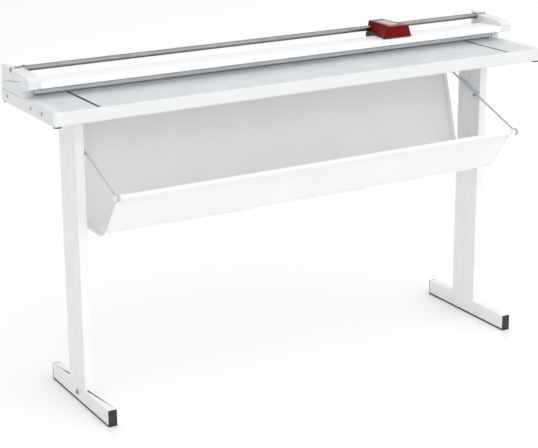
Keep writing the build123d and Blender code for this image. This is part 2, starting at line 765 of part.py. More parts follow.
    with BuildPart() as axle:
        with BuildSketch(Plane.XZ.offset(-(cut_y - blade_cap_thickness))):
            with Locations((head_x, blade_axis_z)):
                Circle(blade_axle / 2)
        extrude(amount=-(carrier_rear - 1 - cut_y + blade_cap_thickness))
        with BuildSketch(Plane.XZ.offset(-(cut_y - blade_cap_thickness))):
            with Locations((head_x, blade_axis_z)):
                Circle(blade_cap_diameter / 2)
        extrude(amount=-(blade_cap_thickness + running))
        with BuildSketch(Plane.XZ.offset(-(cut_y - blade_cap_thickness))):
            with Locations((head_x, blade_axis_z)):
                RegularPolygon(3, 6)
        extrude(amount=-2, mode=Mode.SUBTRACT)
    save(axle, "blade_axle")

    with BuildPart() as spring:
        spring_front = blade_front + blade_thickness
        with BuildSketch(Plane.XZ.offset(-spring_front)):
            with Locations((head_x, blade_axis_z)):
                Circle(blade_axle / 2 + slip + 2)
                Circle(blade_axle / 2 + slip, mode=Mode.SUBTRACT)
        extrude(amount=-(carrier_front - running - spring_front))
    save(spring, "blade_spring")

    for name, side in SIDES:
        with BuildPart() as roller:
            with BuildSketch(Plane.XZ.offset(-(roller_y - roller_width / 2))):
                with Locations((head_x + side * roller_spread, roller_axis_z)):
                    Circle(roller_diameter / 2)
                    Circle(roller_axle / 2 + running, mode=Mode.SUBTRACT)
            extrude(amount=-roller_width)
        save(roller, f"{name}_roller")

    with BuildPart() as axles:
        length = 2 * (cheek_y + cheek_depth / 2)
        with BuildSketch(Plane.XZ.offset(-(roller_y - length / 2))):
            with Locations((head_x - roller_spread, roller_axis_z),
                           (head_x + roller_spread, roller_axis_z)):
                Circle(roller_axle / 2)
        extrude(amount=-length)
    save(axles, "roller_axles")


def inlay_middle():
    """Y of the middle of the panel let into the top of the head."""
    return (head_front + head_front_lean + head_rear) / 2


# ================= stand =================
def build_stand():
    leg_top = table_bottom
    for name, side in SIDES:
        x_middle = side * (leg_outer_x - leg_width / 2)
        with BuildPart() as leg:
            with BuildSketch(Plane.XY.offset(foot_top)):
                with Locations((x_middle, leg_middle_y)):
                    Rectangle(leg_width, leg_depth)
                    Rectangle(leg_width - 2 * leg_wall, leg_depth - 2 * leg_wall, mode=Mode.SUBTRACT)
                with Locations((x_middle - leg_width / 2, leg_middle_y),
                               (x_middle + leg_width / 2, leg_middle_y)):
                    Rectangle(2 * leg_groove_depth, leg_groove, mode=Mode.SUBTRACT)
            extrude(amount=leg_top - leg_plate_thickness - foot_top)
            # closing plate at the foot, with the tongue that drops into the foot tube
            with BuildSketch(Plane.XY.offset(foot_top)):
                with Locations((x_middle, leg_middle_y)):
                    Rectangle(leg_width - leg_wall, leg_depth - leg_wall)
            extrude(amount=tongue_wall)
            with BuildSketch(Plane.XY.offset(foot_top)):
                with Locations((x_middle, leg_middle_y)):
                    Rectangle(leg_width - 2 * foot_wall - 2 * clear, tongue_depth)
            extrude(amount=-(foot_height - foot_wall - clear))
            # top plate that reaches inwards under the table
            plate_x = side * (leg_outer_x - (leg_width + leg_plate_reach) / 2)
            with BuildSketch(Plane.XY.offset(leg_top - leg_plate_thickness)):
                with Locations((plate_x, leg_middle_y)):
                    Rectangle(leg_width + leg_plate_reach, leg_depth)
                with Locations(*[p for p in leg_bolt_places() if p[0] * side > 0]):
                    Circle(leg_bolt / 2 + slip, mode=Mode.SUBTRACT)
            extrude(amount=leg_plate_thickness)
            # thread of the foot bolt, and the hole of the rest stud
            with BuildSketch(rod_plane(side, leg_outer_x)):
                with Locations(facing(side, leg_middle_y, foot_bottom + foot_height / 2)):
                    Circle(foot_bolt / 2 + slip)
            extrude(amount=-leg_width, mode=Mode.SUBTRACT)
            with BuildSketch(rod_plane(side, leg_inner_x)):
                with Locations(facing(side, rest_stud_y, rest_stud_z())):
                    Circle(rest_stud / 4 + slip)
            extrude(amount=leg_wall, mode=Mode.SUBTRACT)
        save(leg, f"{name}_leg")

        with BuildPart() as foot:
            with BuildSketch(Plane.XZ.offset(-foot_front)):
                with Locations((x_middle, foot_bottom + foot_height / 2)):
                    Rectangle(leg_width, foot_height)
                    Rectangle(leg_width - 2 * foot_wall, foot_height - 2 * foot_wall, mode=Mode.SUBTRACT)
            extrude(amount=-foot_length)
            with BuildSketch(Plane.XY.offset(foot_top)):
                with Locations((x_middle, leg_middle_y)):
                    Rectangle(leg_width - 2 * foot_wall, tongue_depth + 2 * clear)
            extrude(amount=-foot_wall, mode=Mode.SUBTRACT)
            with BuildSketch(rod_plane(side, leg_outer_x)):
                with Locations(facing(side, leg_middle_y, foot_bottom + foot_height / 2)):
                    Circle(foot_bolt / 2 + slip)
            extrude(amount=-foot_wall, mode=Mode.SUBTRACT)
        save(foot, f"{name}_foot_tube")

        with BuildPart() as strip:
            with BuildSketch(Plane.XY):
                with Locations((x_middle, (foot_front + foot_rear) / 2)):
                    Rectangle(leg_width, foot_length)
            extrude(amount=floor_strip)
        save(strip, f"{name}_floor_strip")

        for end, y, way in (("front", foot_front, -1), ("rear", foot_rear, 1)):
            with BuildPart() as cap:
                with BuildSketch(Plane.XZ.offset(-y)) as flange:
                    with Locations((x_middle, foot_top / 2)):
                        Rectangle(leg_width, foot_top)
                    fillet(flange.vertices().group_by(Axis.Y)[-1], 2)
                extrude(amount=-way * foot_cap_flange)
                with BuildSketch(Plane.XZ.offset(-y)):
                    with Locations((x_middle, foot_bottom + foot_height / 2)):
                        Rectangle(leg_width - 2 * foot_wall - 2 * inlay_gap,
                                  foot_height - 2 * foot_wall - 2 * inlay_gap)
                extrude(amount=way * foot_cap_plug)
            save(cap, f"{name}_{end}_foot_cap")

    with BuildPart() as foot_bolts:
        for side in (-1, 1):
            with BuildSketch(rod_plane(side, leg_outer_x)):
                with Locations(facing(side, leg_middle_y, foot_bottom + foot_height / 2)):
                    Circle(foot_bolt_head / 2)
            extrude(amount=foot_bolt_head_height)
            with BuildSketch(rod_plane(side, leg_outer_x)):
                with Locations(facing(side, leg_middle_y, foot_bottom + foot_height / 2)):
                    Circle(foot_bolt / 2)
            extrude(amount=-(leg_width - foot_wall - 1))
            with BuildSketch(rod_plane(side, leg_outer_x + foot_bolt_head_height)):
                with Locations(facing(side, leg_middle_y, foot_bottom + foot_height / 2)):
                    RegularPolygon(3, 6)
            extrude(amount=-2.4, mode=Mode.SUBTRACT)
    save(foot_bolts, "foot_bolts")

    with BuildPart() as leg_bolts:
        seat = table_bottom - leg_plate_thickness
        with BuildSketch(Plane.XY.offset(seat)):
            with Locations(*leg_bolt_places()):
                RegularPolygon(leg_bolt_head / 2, 6)
        extrude(amount=-leg_bolt_head_height)
        with BuildSketch(Plane.XY.offset(seat)):
            with Locations(*leg_bolt_places()):
                Circle(leg_bolt / 2)
        extrude(amount=leg_bolt_grip)
    save(leg_bolts, "leg_bolts")


# ================= catch basket =================
def arm_line():
    """Length and slope in degrees of the arms, from the pivot to the front rod."""
    run = arm_pivot_y - front_rod_y
    drop = arm_pivot_z - front_rod_z
    return hypot(run, drop), degrees(atan2(drop, run))


def rest_stud_z():
    """Height of the stud's centre, so that the arm rests on top of it."""
    slope = radians(arm_line()[1])
    on_axis = arm_pivot_z - (arm_pivot_y - rest_stud_y) * tan(slope)
    return on_axis - (arm_diameter / 2 + rest_stud / 2 + clear / 2) / cos(slope)


def sheet_places():
    """Corner points of the hanging fabric in side view, from the rear rail to the front rod."""
    hem_radius = rail_diameter / 2 + hem_gap + fabric / 2
    rod_reach = front_rod_diameter / 2 + hem_gap + hem_wall
    drop = rail_z - front_rod_z
    start = (rail_y - hem_radius, rail_z)
    back = (rail_y - 0.145 * drop, rail_z - 0.42 * drop)
    heel = (rail_y - 0.536 * drop, rail_z - 1.75 * drop)
    toe = (front_rod_y + 0.62 * drop, front_rod_z - 0.776 * drop)
    end = (front_rod_y + 0.04 * drop, front_rod_z - rod_reach - 2.0)
    return [start, back, heel, toe, end]


def build_basket():
    plate_inner = arm_x + arm_diameter / 2 + arm_gap
    rail_half = plate_inner + arm_plate
    with BuildPart() as rail:
        with BuildSketch(profile_plane(-rail_half)):
            with Locations((rail_y, rail_z)):
                Circle(rail_diameter / 2)
        extrude(amount=2 * rail_half)
    save(rail, "basket_rear_rail")

    for name, side in SIDES:
        with BuildPart() as hanger:
            with BuildSketch(profile_plane(low_end(side, plate_inner, plate_inner + arm_plate))) as web:
                outline([
                    (rail_y - 15, table_bottom),
                    (rail_y + 15, table_bottom),
                    (rail_y + 12, rail_z - 8),
                    (arm_pivot_y + 10, arm_pivot_z - 10),
                    (arm_pivot_y - 10, arm_pivot_z - 10),
                    (rail_y - 15, rail_z - 8),
                ])
                fillet(web.vertices().group_by(Axis.Y)[0], 6)
                with Locations((rail_y, rail_z)):
                    Circle(rail_diameter / 2 + slip, mode=Mode.SUBTRACT)
                with Locations((arm_pivot_y, arm_pivot_z)):
                    Circle(arm_pin / 2 + slip, mode=Mode.SUBTRACT)
            extrude(amount=arm_plate)
            flange = low_end(side, plate_inner, plate_inner + 28)
            with BuildSketch(Plane.XY.offset(table_bottom - arm_plate)):
                with Locations((flange + 14, rail_y)):
                    Rectangle(28, 30)
                with Locations((side * (plate_inner + 17), rail_y)):
                    Circle(cap_screw / 2 + slip, mode=Mode.SUBTRACT)
            extrude(amount=arm_plate)
        save(hanger, f"{name}_basket_hanger")

        with BuildPart() as arm:
            length, slope = arm_line()
            along = Plane(origin=(side * arm_x, arm_pivot_y, arm_pivot_z), x_dir=(1, 0, 0),
                          z_dir=(0, -cos(radians(slope)), -sin(radians(slope))))
            with BuildSketch(along.offset(arm_eye)):
                Circle(arm_diameter / 2)
            extrude(amount=length - 2 * arm_eye)
            with BuildSketch(profile_plane(side * arm_x - arm_eye_width / 2)):
                with Locations((arm_pivot_y, arm_pivot_z), (front_rod_y, front_rod_z)):
                    Circle(arm_eye + arm_diameter / 2)
            extrude(amount=arm_eye_width)
            with BuildSketch(profile_plane(side * arm_x - arm_eye_width / 2)):
                with Locations((arm_pivot_y, arm_pivot_z)):
                    Circle(arm_pin / 2 + running)
                with Locations((front_rod_y, front_rod_z)):
                    Circle(front_rod_diameter / 2 + slip)
            extrude(amount=arm_eye_width, mode=Mode.SUBTRACT)
        save(arm, f"{name}_basket_arm")

    with BuildPart() as pins:
        for side in (-1, 1):
            head_x_start = arm_x - arm_diameter / 2 - clear
            with BuildSketch(rod_plane(side, head_x_start)):
                with Locations(facing(side, arm_pivot_y, arm_pivot_z)):
                    Circle(arm_pin / 2)
            extrude(amount=plate_inner + arm_plate - head_x_start)
            with BuildSketch(rod_plane(side, head_x_start)):
                with Locations(facing(side, arm_pivot_y, arm_pivot_z)):
                    Circle(arm_pin / 2 + 2.5)
            extrude(amount=-2.2)
    save(pins, "arm_pivot_pins")

    with BuildPart() as hanger_screws:
        with BuildSketch(Plane.XY.offset(table_bottom - arm_plate)):
            with Locations(*[(side * (plate_inner + 17), rail_y) for side in (-1, 1)]):
                Circle(cap_screw)
        extrude(amount=-3)
        with BuildSketch(Plane.XY.offset(table_bottom - arm_plate)):
            with Locations(*[(side * (plate_inner + 17), rail_y) for side in (-1, 1)]):
                Circle(cap_screw / 2)
        extrude(amount=arm_plate)
    save(hanger_screws, "hanger_screws")

    with BuildPart() as studs:
        for side in (-1, 1):
            reach = arm_x - arm_diameter / 2 - 1
            with BuildSketch(rod_plane(side, reach)):
                with Locations(facing(side, rest_stud_y, rest_stud_z())):
                    Circle(rest_stud / 2)
            extrude(amount=leg_inner_x - reach)
            with BuildSketch(rod_plane(side, leg_inner_x)):
                with Locations(facing(side, rest_stud_y, rest_stud_z())):
                    Circle(rest_stud / 4)
            extrude(amount=leg_wall)
    save(studs, "arm_rest_studs")

    rod_half = arm_x + arm_diameter / 2
    with BuildPart() as front_rod:
        with BuildSketch(profile_plane(-rod_half)):
            with Locations((front_rod_y, front_rod_z)):
                Circle(front_rod_diameter / 2)
        extrude(amount=2 * rod_half)
    save(front_rod, "basket_front_rod")

    with BuildPart() as knobs:
        for side in (-1, 1):
            with BuildSketch(rod_plane(side, rod_half)):
                with Locations(facing(side, front_rod_y, front_rod_z)):
                    Circle(knob_diameter / 2)
            extrude(amount=knob_length)
        fillet(knobs.edges().filter_by(GeomType.CIRCLE).group_by(Axis.X)[-1], 2)
        fillet(knobs.edges().filter_by(GeomType.CIRCLE).group_by(Axis.X)[0], 2)
    save(knobs, "front_rod_knobs")

    with BuildPart() as sling:
        with BuildSketch(profile_plane(-basket_half)):
            with BuildLine():
                FilletPolyline(*sheet_places(), radius=[200, 0.5 * (rail_z - front_rod_z), 75])
            trace(line_width=fabric)
            with Locations((rail_y, rail_z)):
                Circle(rail_diameter / 2 + hem_gap + fabric)
                Circle(rail_diameter / 2 + hem_gap, mode=Mode.SUBTRACT)
        extrude(amount=2 * basket_half)
    save(sling, "basket_fabric")

    with BuildPart() as hem:
        with BuildSketch(profile_plane(-basket_half)):
            with Locations((front_rod_y, front_rod_z)):
                Circle(front_rod_diameter / 2 + hem_gap + hem_wall)
                Circle(front_rod_diameter / 2 + slip, mode=Mode.SUBTRACT)
        extrude(amount=2 * basket_half)
    save(hem, "basket_front_hem")


build_table()
build_end_caps()
build_beam()
build_brackets()
build_head()
build_stand()
build_basket()
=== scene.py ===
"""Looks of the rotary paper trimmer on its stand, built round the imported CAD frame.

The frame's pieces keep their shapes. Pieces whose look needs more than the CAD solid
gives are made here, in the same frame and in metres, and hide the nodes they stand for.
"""

import json
import logging
import math
from dataclasses import dataclass
from enum import Enum
from typing import Any, Iterable, Sequence

import bmesh
import bpy
import numpy as np
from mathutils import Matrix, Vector

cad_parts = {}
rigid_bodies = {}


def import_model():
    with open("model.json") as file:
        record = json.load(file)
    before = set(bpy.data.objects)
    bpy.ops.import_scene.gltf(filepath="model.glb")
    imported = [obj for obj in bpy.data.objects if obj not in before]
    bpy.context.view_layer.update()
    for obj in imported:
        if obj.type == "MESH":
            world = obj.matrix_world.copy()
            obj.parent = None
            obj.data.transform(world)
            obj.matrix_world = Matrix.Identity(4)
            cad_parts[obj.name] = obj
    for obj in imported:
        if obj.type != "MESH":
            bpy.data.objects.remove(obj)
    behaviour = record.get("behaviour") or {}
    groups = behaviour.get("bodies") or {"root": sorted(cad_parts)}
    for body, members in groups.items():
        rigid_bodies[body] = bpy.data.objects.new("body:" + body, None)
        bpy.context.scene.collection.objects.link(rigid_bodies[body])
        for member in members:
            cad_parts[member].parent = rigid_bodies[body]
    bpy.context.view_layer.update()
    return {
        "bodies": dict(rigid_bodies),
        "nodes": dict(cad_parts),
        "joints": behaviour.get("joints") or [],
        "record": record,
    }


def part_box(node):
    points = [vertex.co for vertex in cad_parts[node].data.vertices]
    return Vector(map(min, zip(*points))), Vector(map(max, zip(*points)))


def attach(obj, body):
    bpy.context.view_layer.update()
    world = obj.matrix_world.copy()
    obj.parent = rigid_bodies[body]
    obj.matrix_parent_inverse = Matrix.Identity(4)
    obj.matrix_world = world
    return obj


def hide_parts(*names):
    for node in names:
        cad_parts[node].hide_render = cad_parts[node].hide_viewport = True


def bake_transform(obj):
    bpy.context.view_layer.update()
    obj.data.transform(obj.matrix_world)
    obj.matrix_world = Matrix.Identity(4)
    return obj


LOG = logging.getLogger("trimmer")
MM = 0.001
Array = np.ndarray

LEAST_ROUGHNESS = 0.02
BUMP_STRENGTH = 0.6
PATCH_RANGE = (0.3, 0.7)      # noise values between which the tone drifts over
PATCH_DETAIL = 3.0            # octaves of the colour patches
GRAIN_DETAIL = 2.0            # octaves of the grain
CROSSING_SHARE = 0.35         # weight of the weave beside the uneven yarn


# ---------------------------------------------------------------- colour and nodes
def linear(hex_code: str) -> tuple[float, float, float, float]:
    """Turn an sRGB hex colour to linear light.

    Args:
        hex_code: Six hex digits.

    Returns:
        Red, green, blue and an alpha of one.
    """
    srgb = np.array([int(hex_code[i:i + 2], 16) for i in (0, 2, 4)]) / 255.0
    light = np.where(srgb <= 0.04045, srgb / 12.92, ((srgb + 0.055) / 1.055) ** 2.4)
    return (float(light[0]), float(light[1]), float(light[2]), 1.0)


def add(tree: bpy.types.NodeTree, kind: str, inputs: dict[Any, Any] | None = None,
        **settings: Any) -> bpy.types.Node:
    """Add one node with its settings, and link or set its inputs.

    Args:
        tree: Node tree that gets the node.
        kind: Blender's name of the node type.
        inputs: Socket name or number, and a value or another node's output socket.
        settings: Attributes of the node.

    Returns:
        The new node.
    """
    made = tree.nodes.new(kind)
    for key, value in settings.items():
        setattr(made, key, value)
    for key, value in (inputs or {}).items():
        if isinstance(value, bpy.types.NodeSocket):
            tree.links.new(value, made.inputs[key])
        else:
            made.inputs[key].default_value = value
    return made


def blend_colours(tree: bpy.types.NodeTree, share: bpy.types.NodeSocket, low: Any,
                  high: Any) -> bpy.types.NodeSocket:
    """Mix two colours, each a value or an output socket, by a share from 0 to 1."""
    mix = add(tree, "ShaderNodeMix", {"Factor": share, 6: low, 7: high}, data_type="RGBA")
    return mix.outputs[2]


class Space(Enum):
    """Coordinates that a pattern follows."""

    OBJECT = "Object"
    CLOTH = "UV"


@dataclass(frozen=True)
class Finish:
    """A surface: its colours, gloss and the relief of how it was made.

    Attributes:
        name: What a maker would call it.
        colour: Main sRGB hex colour.
        shade: sRGB hex colour that it drifts to in patches.
        roughness: Typical roughness.
        roughness_drift: How far the roughness varies across the surface.
        metallic: One for bare metal.
        grain_mm: Size of the relief's grain along X, Y and Z.
        relief_mm: Height of the relief.
        drift_mm: Size of the colour patches.
        specular: Level of the mirror-like share, 0.5 for a common plastic.
        sheen: Weight of the soft glow of fibres.
        glow: Share of the light that comes through a thin sheet from behind.
        painted_glow: Strength of an even white emission, a painted glow that lifts a surface out of
            its shade.
        space: Coordinates of the pattern.
    """

    name: str
    colour: str
    shade: str
    roughness: float
    roughness_drift: float = 0.06
    metallic: float = 0.0
    grain_mm: tuple[float, float, float] = (1.5, 1.5, 1.5)
    relief_mm: float = 0.03
    drift_mm: float = 60.0
    specular: float = 0.5
    sheen: float = 0.0
    glow: float = 0.0
    painted_glow: float = 0.0
    space: Space = Space.OBJECT

    def material(self) -> bpy.types.Material:
        """Make the material, or return it if it is already made."""
        made = bpy.data.materials.get(f"{self.name}_look")
        if made is None:
            made = bpy.data.materials.new(f"{self.name}_look")
            made.use_nodes = True
            made.node_tree.nodes.clear()
            self.fill(made.node_tree)
            made.diffuse_color = linear(self.colour)
        return made

    def noise(self, tree: bpy.types.NodeTree, sizes_mm: Sequence[float],
              detail: float) -> bpy.types.NodeSocket:
        """Noise with features of the given sizes along the three directions.

        Args:
            tree: Node tree of the material.
            sizes_mm: Feature size along X, Y and Z.
            detail: Octaves of finer noise on top.

        Returns:
            The noise's value, from 0 to 1.
        """
        place = add(tree, "ShaderNodeTexCoord")
        scale = tuple(1.0 / (size * MM) for size in sizes_mm)
        mapping = add(tree, "ShaderNodeMapping",
                      {"Vector": place.outputs[self.space.value], "Scale": scale})
        made = add(tree, "ShaderNodeTexNoise",
                   {"Vector": mapping.outputs["Vector"], "Scale": 1.0, "Detail": detail})
        return made.outputs["Fac"]

    def tone(self, tree: bpy.types.NodeTree) -> bpy.types.NodeSocket:
        """Colour that drifts between the two tones in soft patches."""
        patches = self.noise(tree, (self.drift_mm,) * 3, PATCH_DETAIL)
        share = add(tree, "ShaderNodeMapRange",
                    {"Value": patches, "From Min": PATCH_RANGE[0], "From Max": PATCH_RANGE[1]})
        return blend_colours(tree, share.outputs["Result"], linear(self.colour), linear(self.shade))

    def relief(self, tree: bpy.types.NodeTree) -> bpy.types.NodeSocket:
        """Height of the surface's grain, from 0 to 1."""
        return self.noise(tree, self.grain_mm, GRAIN_DETAIL)

    def fill(self, tree: bpy.types.NodeTree) -> None:
        """Join the drifting colour, the gloss that follows the grain, the relief and any painted
        glow.
        """
        grain = self.relief(tree)
        gloss = add(tree, "ShaderNodeMapRange",
                    {"Value": grain,
                     "To Min": max(LEAST_ROUGHNESS, self.roughness - self.roughness_drift),
                     "To Max": self.roughness + self.roughness_drift})
        bump = add(tree, "ShaderNodeBump",
                   {"Height": grain, "Distance": self.relief_mm * MM,
                    "Strength": BUMP_STRENGTH})
        # Emission Strength carries the painted glow: a plain white emission, no lamp, that makes
        # the surface look more brightly lit.
        shader = add(tree, "ShaderNodeBsdfPrincipled",
                     {"Base Color": self.tone(tree), "Roughness": gloss.outputs["Result"],
                      "Normal": bump.outputs["Normal"], "Metallic": self.metallic,
                      "Specular IOR Level": self.specular, "Sheen Weight": self.sheen,
                      "Emission Strength": self.painted_glow})
        surface = shader.outputs["BSDF"]
        if self.glow:
            through = add(tree, "ShaderNodeBsdfTranslucent", {"Color": linear(self.colour)})
            surface = add(tree, "ShaderNodeMixShader",
                          {0: self.glow, 1: surface, 2: through.outputs[0]}).outputs[0]
        add(tree, "ShaderNodeOutputMaterial", {"Surface": surface})


@dataclass(frozen=True)
class TableFinish(Finish):
    """Satin anodised top with a white front: the tone changes at the height of the top face.

    Attributes:
        front: sRGB hex colour of everything below the top face.
        top_z: Height of the top face in metres.
        edge_mm: Depth under the top face at which the white starts.
    """

    front: str = "E3E5E5"
    top_z: float = 0.0
    edge_mm: float = 1.6

    def tone(self, tree: bpy.types.NodeTree) -> bpy.types.NodeSocket:
        """The patchy grey above the edge of the top face, the white below it."""
        grey = super().tone(tree)
        place = add(tree, "ShaderNodeTexCoord")
        split = add(tree, "ShaderNodeSeparateXYZ", {"Vector": place.outputs["Object"]})
        share = add(tree, "ShaderNodeMapRange",
                    {"Value": split.outputs["Z"], "From Min": self.top_z - self.edge_mm * MM,
                     "From Max": self.top_z - self.edge_mm * MM / 2})
        return blend_colours(tree, share.outputs["Result"], linear(self.front), grey)


@dataclass(frozen=True)
class WovenFinish(Finish):
    """Plain weave: threads that cross over and under, worked out from the thread spacing.

    Attributes:
        thread_mm: Distance between two threads.
    """

    thread_mm: float = 1.6
    space: Space = Space.CLOTH

    def relief(self, tree: bpy.types.NodeTree) -> bpy.types.NodeSocket:
        """Two sets of rounded threads at right angles, with uneven yarn on top.

        Each set is a sine wave across the cloth. Their product changes sign from one
        crossing to the next, as the warp passes over and under the weft.
        """
        place = add(tree, "ShaderNodeTexCoord")
        split = add(tree, "ShaderNodeSeparateXYZ", {"Vector": place.outputs["UV"]})
        waves = []
        for axis in ("X", "Y"):
            turned = add(tree, "ShaderNodeMath",
                         {0: split.outputs[axis], 1: math.pi / (self.thread_mm * MM)},
                         operation="MULTIPLY")
            waves.append(add(tree, "ShaderNodeMath", {0: turned.outputs[0]}, operation="SINE"))
        crossing = add(tree, "ShaderNodeMath", {0: waves[0].outputs[0], 1: waves[1].outputs[0]},
                       operation="MULTIPLY")
        yarn = self.noise(tree, self.grain_mm, GRAIN_DETAIL)
        return add(tree, "ShaderNodeMath",
                   {0: crossing.outputs[0], 1: CROSSING_SHARE, 2: yarn}, operation="MULTIPLY_ADD",
                   use_clamp=True).outputs[0]


# Powder coat on steel: satin, with the faint pebble of baked powder.
POWDER_WHITE = Finish("white_powder_coat", "F1F2F3", "EBEDEE", 0.42,
                      grain_mm=(2.2, 2.2, 2.2), relief_mm=0.03)
# Extruded aluminium under white powder: the same coat, with faint draw lines along X.
EXTRUDED_WHITE = Finish("white_extrusion", "FEFEFE", "FBFBFC", 0.36,
                        grain_mm=(60.0, 1.6, 1.6), relief_mm=0.02)
# Moulded ABS: a fine spark-eroded grain that breaks up the gloss.
MOULDED_WHITE = Finish("white_moulding", "E5E7E9", "DDE0E2", 0.40,
                       grain_mm=(1.4, 1.4, 1.4), relief_mm=0.035)
# Moulded polyamide: black with a grey bloom, slightly waxy.
BLACK_MOULDING = Finish("black_moulding", "1B1D20", "26282C", 0.45,
                        grain_mm=(1.2, 1.2, 1.2), relief_mm=0.04)
# Rubber: dull, slightly dusty.
BLACK_RUBBER = Finish("black_rubber", "1A1B1D", "2A2B2D", 0.82,
                      grain_mm=(2.0, 2.0, 2.0), relief_mm=0.08)
# Pale satin coat on extruded aluminium: a trace of metal, draw lines along X.
CLAMP_GREY = Finish("clamp_aluminium", "E4E8EC", "DADFE4", 0.38, metallic=0.1,
                    grain_mm=(80.0, 1.2, 1.2), relief_mm=0.02)
# Smooth ABS in deep red: a dark body with only a faint, sharp reflection.
RED_GLOSS = Finish("red_gloss", "7A0905", "680501", 0.16, roughness_drift=0.03,
                   grain_mm=(9.0, 9.0, 9.0), relief_mm=0.015, specular=0.08, drift_mm=25.0)
# Satin printed panel: an even, light and slightly warm grey.
GREY_PANEL = Finish("grey_panel", "BEB6BA", "B3ABAF", 0.36, grain_mm=(0.9, 0.9, 0.9),
                    relief_mm=0.02, drift_mm=20.0)
# Ground and polished round bar: grinding lines run round it, so light smears along X.
GROUND_STEEL = Finish("ground_steel", "9A9B95", "8A8B86", 0.24, metallic=1.0,
                      grain_mm=(0.8, 14.0, 14.0), relief_mm=0.006)
# Hardened and ground blade steel: fine lines along Y, a cool mirror between them.
BLADE_STEEL = Finish("blade_steel", "B4B6B8", "A7A9AC", 0.22, metallic=1.0,
                     grain_mm=(0.9, 18.0, 0.9), relief_mm=0.008)
# Zinc plate: bright with a cloudy bluish bloom.
ZINC = Finish("zinc_screws", "B2B5B8", "9EA1A5", 0.34, metallic=1.0,
              grain_mm=(1.0, 1.0, 1.0), relief_mm=0.02, drift_mm=8.0)
# Drawn spring wire: dark, with a dull drawn skin.
SPRING_STEEL = Finish("spring_steel", "7F8286", "6F7276", 0.36, metallic=1.0,
                      grain_mm=(0.6, 0.6, 0.6), relief_mm=0.02, drift_mm=6.0)
# Milled aluminium: long cutter lines along X.
MACHINED = Finish("carrier_aluminium", "BFC1C3", "B3B5B8", 0.35, metallic=1.0,
                  grain_mm=(14.0, 0.8, 0.8), relief_mm=0.012, drift_mm=20.0)
# Sintered bronze: open grain, warm and dull.
BRONZE = Finish("bronze_bush", "B08D57", "9C7A48", 0.42, metallic=1.0,
                grain_mm=(0.5, 0.5, 0.5), relief_mm=0.02, drift_mm=6.0)
# Plastic-coated wire: soft light grey.
GREY_WIRE = Finish("grey_wire", "CFD1D4", "C4C6CA", 0.40, metallic=0.2,
                   grain_mm=(1.5, 1.5, 1.5), relief_mm=0.02, drift_mm=30.0)
# Thin light coat on steel tube.
RAIL_COAT = Finish("rail_steel", "E3E4E6", "DBDDE0", 0.38,
                   grain_mm=(2.0, 2.0, 2.0), relief_mm=0.02)
# Close plain weave of white polyester: matt, with a faint fibre glow. Its small even white emission
# is a painted glow that lifts the cloth out of the shade under the table. The threads are about 0.4
# mm apart in such cloth and are drawn four times as coarse so that they show.
BASKET_CLOTH = WovenFinish("white_fabric", "F1F1F2", "EDEDEE", 0.78,
                           grain_mm=(5.0, 5.0, 5.0), relief_mm=0.10, drift_mm=120.0,
                           specular=0.2, sheen=0.40, glow=0.04, painted_glow=0.03)


def node_finishes(top_z: float) -> dict[str, Finish]:
    """The finish of each material slot of the record.

    Args:
        top_z: Height of the table's top face.

    Returns:
        Finish by slot name.
    """
    # Brushed and anodised sheet: a cool light grey with fine lines along X.
    table = TableFinish("table_finish", "D8DCDE", "CED3D5", 0.40,
                        grain_mm=(90.0, 1.4, 1.4), relief_mm=0.02, top_z=top_z)
    finishes = (POWDER_WHITE, EXTRUDED_WHITE, MOULDED_WHITE, BLACK_MOULDING, BLACK_RUBBER,
                CLAMP_GREY, RED_GLOSS, GREY_PANEL, GROUND_STEEL, BLADE_STEEL, ZINC,
                SPRING_STEEL, MACHINED, BRONZE, GREY_WIRE, RAIL_COAT, BASKET_CLOTH, table)
    return {finish.name: finish for finish in finishes}


def dress(piece: bpy.types.Object, finish: Finish) -> None:
    """Give a piece one finish."""
    piece.data.materials.clear()
    piece.data.materials.append(finish.material())


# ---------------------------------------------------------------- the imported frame
@dataclass
class Frame:
    """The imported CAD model, and what the pieces need to know about it.

    Attributes:
        nodes: CAD object by node name.
        slots: Material slot by node name.
        bodies: Moving body by node name.
        finishes: Finish by slot name.
    """

    nodes: dict[str, bpy.types.Object]
    slots: dict[str, str]
    bodies: dict[str, str]
    finishes: dict[str, Finish]

    @classmethod
    def from_kit(cls, loaded: dict[str, Any]) -> "Frame":
        record = loaded["record"]
        bodies = {node: body for body, members in record["behaviour"]["bodies"].items()
                  for node in members}
        slots = {part["node"]: part["material_slot"] for part in record["subparts"]}
        finishes = node_finishes(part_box("table_board")[1].z)
        return cls(dict(loaded["nodes"]), slots, bodies, finishes)

    def dress_nodes(self) -> None:
        """Give every CAD node the finish of its slot."""
        for name, piece in self.nodes.items():
            dress(piece, self.finishes[self.slots[name]])
        LOG.info("dressed %d nodes", len(self.nodes))


def new_piece(name: str, points: Array, faces: Array | list, finish: Finish) -> bpy.types.Object:
    """Make a smooth mesh object from arrays.

    Args:
        name: Name of the piece.
        points: Vertex positions in metres, one row each.
        faces: Vertex numbers of each face.
        finish: Its finish.

    Returns:
        The object, at the origin.
    """
    mesh = bpy.data.meshes.new(name)
    mesh.from_pydata(points.tolist(), [], faces if isinstance(faces, list) else faces.tolist())
    mesh.polygons.foreach_set("use_smooth", np.ones(len(mesh.polygons), bool))
    made = bpy.data.objects.new(name, mesh)
    bpy.context.scene.collection.objects.link(made)
    dress(made, finish)
    return made


# ---------------------------------------------------------------- eased edges
MERGE_MM = 0.004              # points nearer than this are one point
FLAT_DEG = 0.8                # triangles that meet at less than this join to one face
EASED_DEG = 38.0              # edges that turn by more than this are rounded


